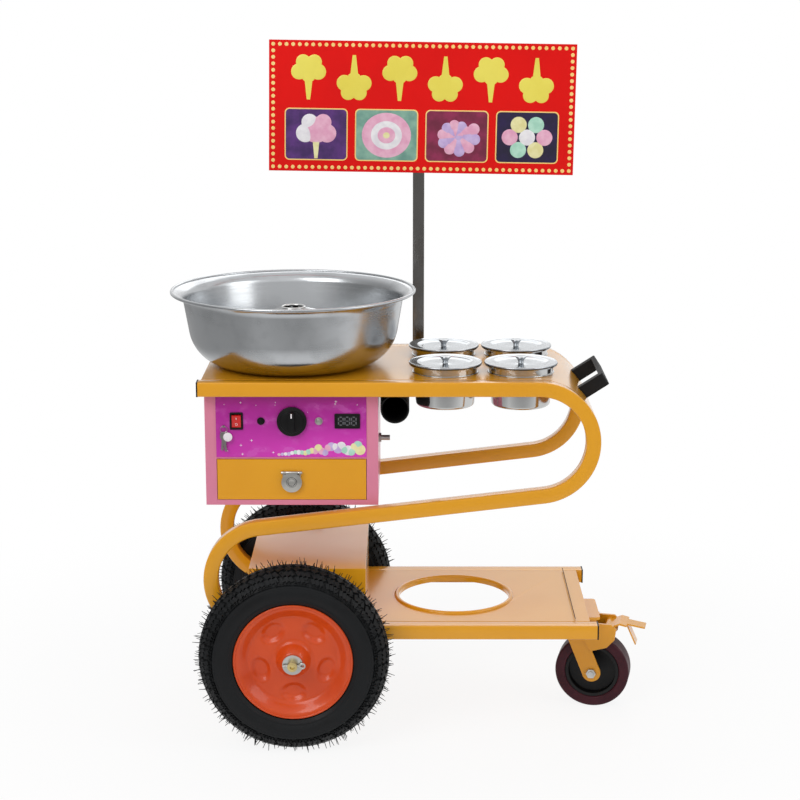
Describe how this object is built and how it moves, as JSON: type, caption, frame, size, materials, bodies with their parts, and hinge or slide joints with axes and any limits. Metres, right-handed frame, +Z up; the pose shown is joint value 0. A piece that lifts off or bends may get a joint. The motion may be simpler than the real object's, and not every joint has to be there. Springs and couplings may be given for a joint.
{
  "type": "cotton_candy_cart",
  "caption": "Wheeled cotton candy cart with a bent tube frame, steel spinning bowl, control box with drawer, lidded canisters, cylinder seat and sign board",
  "frame": {"origin": "Middle of the cart's bounding box, on the ground.", "axes": "+Z is up. +X runs from the bowl end to the castor end. The control panel faces -Y."},
  "size_m": [1.016, 0.64, 1.4222],
  "materials": {
    "yellow_paint": "gloss",
    "pink_paint": "satin",
    "panel_print": "gloss",
    "black_plastic": "satin",
    "stainless": "polished",
    "zinc": "satin",
    "brass": "satin",
    "tyre_rubber": "matte",
    "rim_paint": "gloss",
    "maroon_tread": "satin",
    "sign_print": "gloss",
    "switch_red": "gloss"
  },
  "bodies": {
    "frame": {"near_rail": "yellow_paint", "far_rail": "yellow_paint", "rail_plugs": "black_plastic", "cross_tubes": "yellow_paint", "machine_top": "yellow_paint", "canister_top": "yellow_paint", "push_handle": "black_plastic", "lower_tray": "yellow_paint", "battery_hood": "yellow_paint", "battery": "black_plastic", "control_box": "pink_paint", "control_panel": "panel_print", "panel_bezels": "black_plastic", "metal_collar": "stainless", "meter": "black_plastic", "drawer_runners": "zinc", "gas_inlet": "zinc", "gas_line": "brass", "burner": "zinc", "spindle_housing": "zinc", "drive_motor": "zinc", "drive_belt": "black_plastic", "stick_tube": "black_plastic", "axle": "zinc", "frame_brackets": "yellow_paint", "axle_fittings": "zinc", "sign_pole": "stainless", "sign_board": "sign_print", "castor_plate": "yellow_paint"},
    "spindle": {"spindle": "zinc", "spinner_base": "stainless", "spinner_cover": "stainless"},
    "motor_rotor": {"motor_pulley": "zinc"},
    "bowl": {"bowl": "stainless"},
    "drawer": {"drawer_tray": "zinc", "drawer_front": "yellow_paint", "latch_plate": "stainless"},
    "latch": {"latch_flap": "stainless"},
    "rocker": {"rocker": "switch_red"},
    "knob": {"knob": "black_plastic", "valve_stem": "brass"},
    "push_button": {"push_button": "black_plastic"},
    "metal_button": {"metal_button": "stainless"},
    "near_wheel": {"near_tyre": "tyre_rubber", "near_disc": "rim_paint"},
    "far_wheel": {"far_tyre": "tyre_rubber", "far_disc": "rim_paint"},
    "castor": {"castor_fork": "yellow_paint", "castor_axle": "zinc"},
    "castor_wheel": {"castor_core": "black_plastic", "castor_tread": "maroon_tread"},
    "brake": {"brake_pedal": "yellow_paint"},
    "canister_1": {"canister_1": "stainless"},
    "lid_1": {"lid_1": "stainless"},
    "canister_2": {"canister_2": "stainless"},
    "lid_2": {"lid_2": "stainless"},
    "canister_3": {"canister_3": "stainless"},
    "lid_3": {"lid_3": "stainless"},
    "canister_4": {"canister_4": "stainless"},
    "lid_4": {"lid_4": "stainless"}
  },
  "joints": [
    {"name": "near_wheel_spin", "type": "hinge", "parent": "frame", "child": "near_wheel", "pos_m": [-0.24396, -0.2545, 0.196], "axis": [0, 1, 0], "continuous": true},
    {"name": "far_wheel_spin", "type": "hinge", "parent": "frame", "child": "far_wheel", "pos_m": [-0.24396, 0.2545, 0.196], "axis": [0, 1, 0], "continuous": true},
    {"name": "castor_swivel", "type": "hinge", "parent": "frame", "child": "castor", "pos_m": [0.34804, 0, 0.197], "axis": [0, 0, 1], "continuous": true},
    {"name": "castor_spin", "type": "hinge", "parent": "castor", "child": "castor_wheel", "pos_m": [0.39499, -0.00998, 0.08], "axis": [0.2079, 0.9781, 0], "continuous": true},
    {"name": "brake_press", "type": "hinge", "parent": "castor", "child": "brake", "pos_m": [0.42629, -0.01663, 0.1787], "axis": [0.2079, 0.9781, 0], "range_deg": [0, 12]},
    {"name": "spindle_spin", "type": "hinge", "parent": "frame", "child": "spindle", "pos_m": [-0.25096, 0, 0.757], "axis": [0, 0, 1], "continuous": true},
    {"name": "motor_spin", "type": "hinge", "parent": "frame", "child": "motor_rotor", "pos_m": [-0.12896, 0, 0.65], "axis": [0, 0, 1], "continuous": true},
    {"name": "bowl_lift", "type": "slide", "parent": "frame", "child": "bowl", "axis": [0, 0, 1], "range_m": [0, 0.2]},
    {"name": "drawer_slide", "type": "slide", "parent": "frame", "child": "drawer", "axis": [0, -1, 0], "range_m": [0, 0.25]},
    {"name": "latch_flip", "type": "hinge", "parent": "drawer", "child": "latch", "pos_m": [-0.24846, -0.1785, 0.565], "axis": [-1, 0, 0], "range_deg": [0, 100]},
    {"name": "rocker_tilt", "type": "hinge", "parent": "frame", "child": "rocker", "pos_m": [-0.35996, -0.1735, 0.673], "axis": [-1, 0, 0], "range_deg": [0, 20]},
    {"name": "knob_turn", "type": "hinge", "parent": "frame", "child": "knob", "pos_m": [-0.24696, -0.176, 0.673], "axis": [0, 1, 0], "range_deg": [0, 270]},
    {"name": "push_button_press", "type": "slide", "parent": "frame", "child": "push_button", "axis": [0, 1, 0], "range_m": [0, 0.003], "stiffness_N_per_m": 300},
    {"name": "metal_button_press", "type": "slide", "parent": "frame", "child": "metal_button", "axis": [0, 1, 0], "range_m": [0, 0.003], "stiffness_N_per_m": 300},
    {"name": "canister_1_lift", "type": "slide", "parent": "frame", "child": "canister_1", "axis": [0, 0, 1], "range_m": [0, 0.1]},
    {"name": "lid_1_lift", "type": "slide", "parent": "canister_1", "child": "lid_1", "axis": [0, 0, 1], "range_m": [0, 0.05]},
    {"name": "canister_2_lift", "type": "slide", "parent": "frame", "child": "canister_2", "axis": [0, 0, 1], "range_m": [0, 0.1]},
    {"name": "lid_2_lift", "type": "slide", "parent": "canister_2", "child": "lid_2", "axis": [0, 0, 1], "range_m": [0, 0.05]},
    {"name": "canister_3_lift", "type": "slide", "parent": "frame", "child": "canister_3", "axis": [0, 0, 1], "range_m": [0, 0.1]},
    {"name": "lid_3_lift", "type": "slide", "parent": "canister_3", "child": "lid_3", "axis": [0, 0, 1], "range_m": [0, 0.05]},
    {"name": "canister_4_lift", "type": "slide", "parent": "frame", "child": "canister_4", "axis": [0, 0, 1], "range_m": [0, 0.1]},
    {"name": "lid_4_lift", "type": "slide", "parent": "canister_4", "child": "lid_4", "axis": [0, 0, 1], "range_m": [0, 0.05]}
  ],
  "couplings": [
    {"joint": "motor_spin", "follows": "spindle_spin", "ratio": 1}
  ]
}
